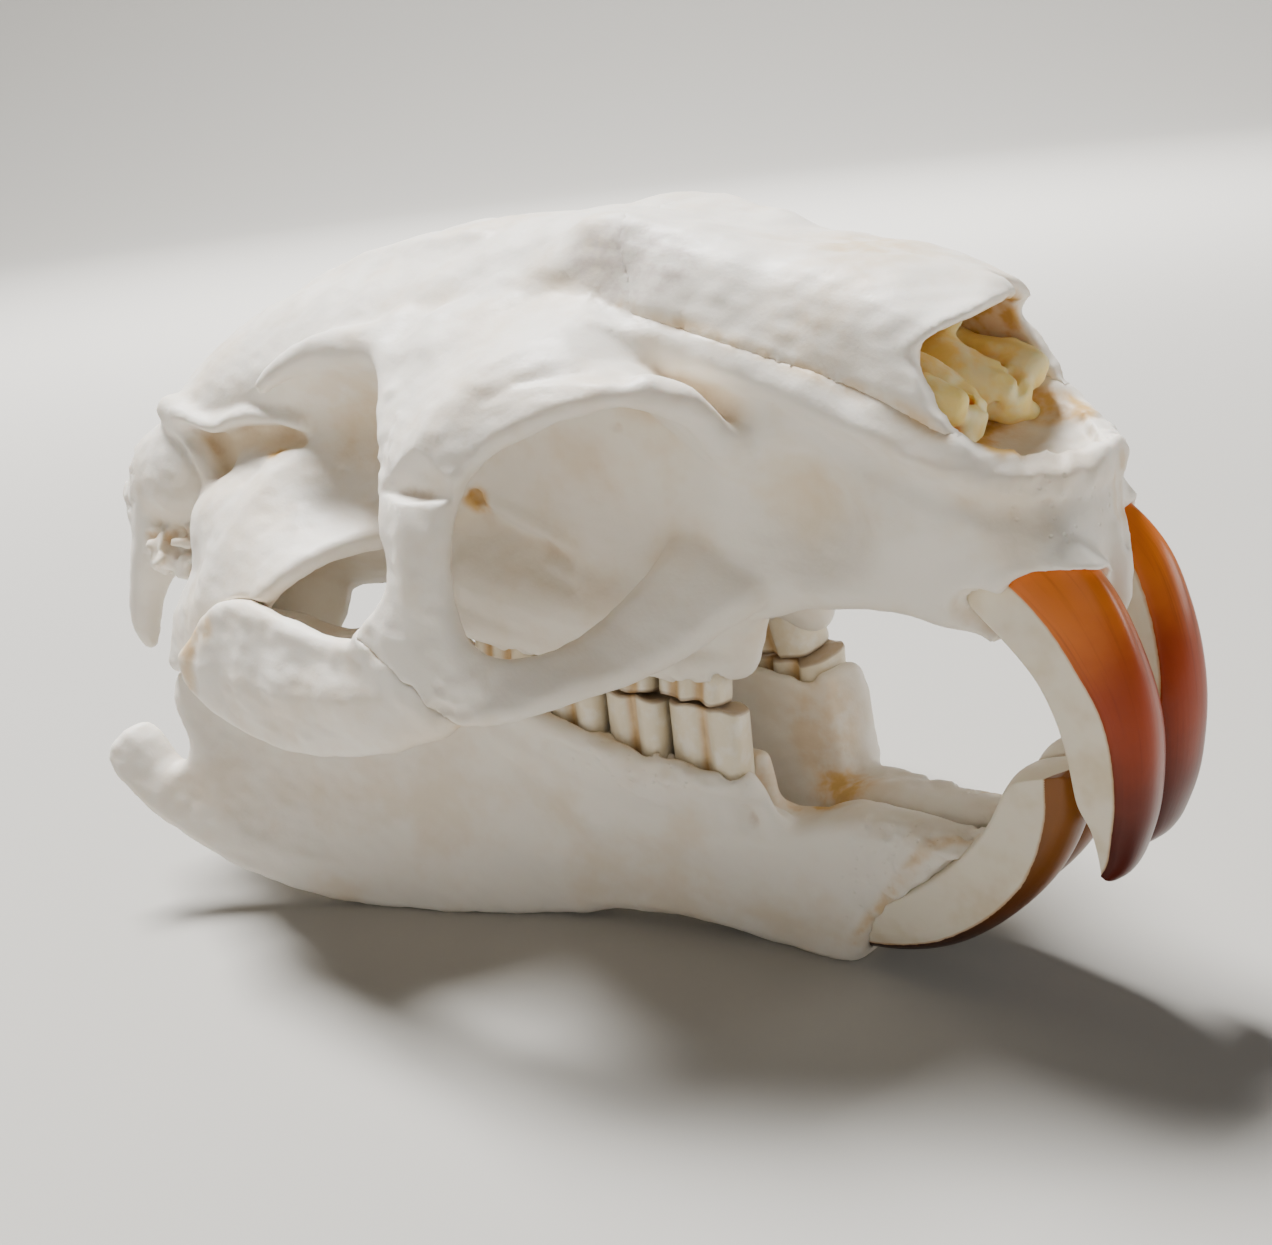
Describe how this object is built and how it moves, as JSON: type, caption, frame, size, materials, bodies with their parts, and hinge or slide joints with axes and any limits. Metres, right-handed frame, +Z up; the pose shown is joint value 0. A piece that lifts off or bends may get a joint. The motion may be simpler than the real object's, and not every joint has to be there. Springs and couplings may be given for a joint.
{
  "type": "coypu skull",
  "caption": "Bleached coypu (nutria) skull with its lower jaw closed, orange incisors, deep cheek bones and open arches, resting on the jaw.",
  "frame": {"origin": "centre of the footprint, on the surface the skull rests on", "axes": "+X from the back of the skull to the incisors, +Y to the skull's left, +Z up"},
  "size_m": [0.1186, 0.0674, 0.0711],
  "materials": {
    "bone": "matt",
    "orange_enamel": "satin",
    "pale_enamel": "satin"
  },
  "bodies": {
    "root": {"cranium": "bone", "nasal_bones": "bone", "jugal_left": "bone", "jugal_right": "bone", "mandible_left": "bone", "mandible_right": "bone", "upper_incisor_left": "orange_enamel", "upper_incisor_right": "orange_enamel", "lower_incisor_left": "pale_enamel", "lower_incisor_right": "pale_enamel"}
  },
  "joints": []
}
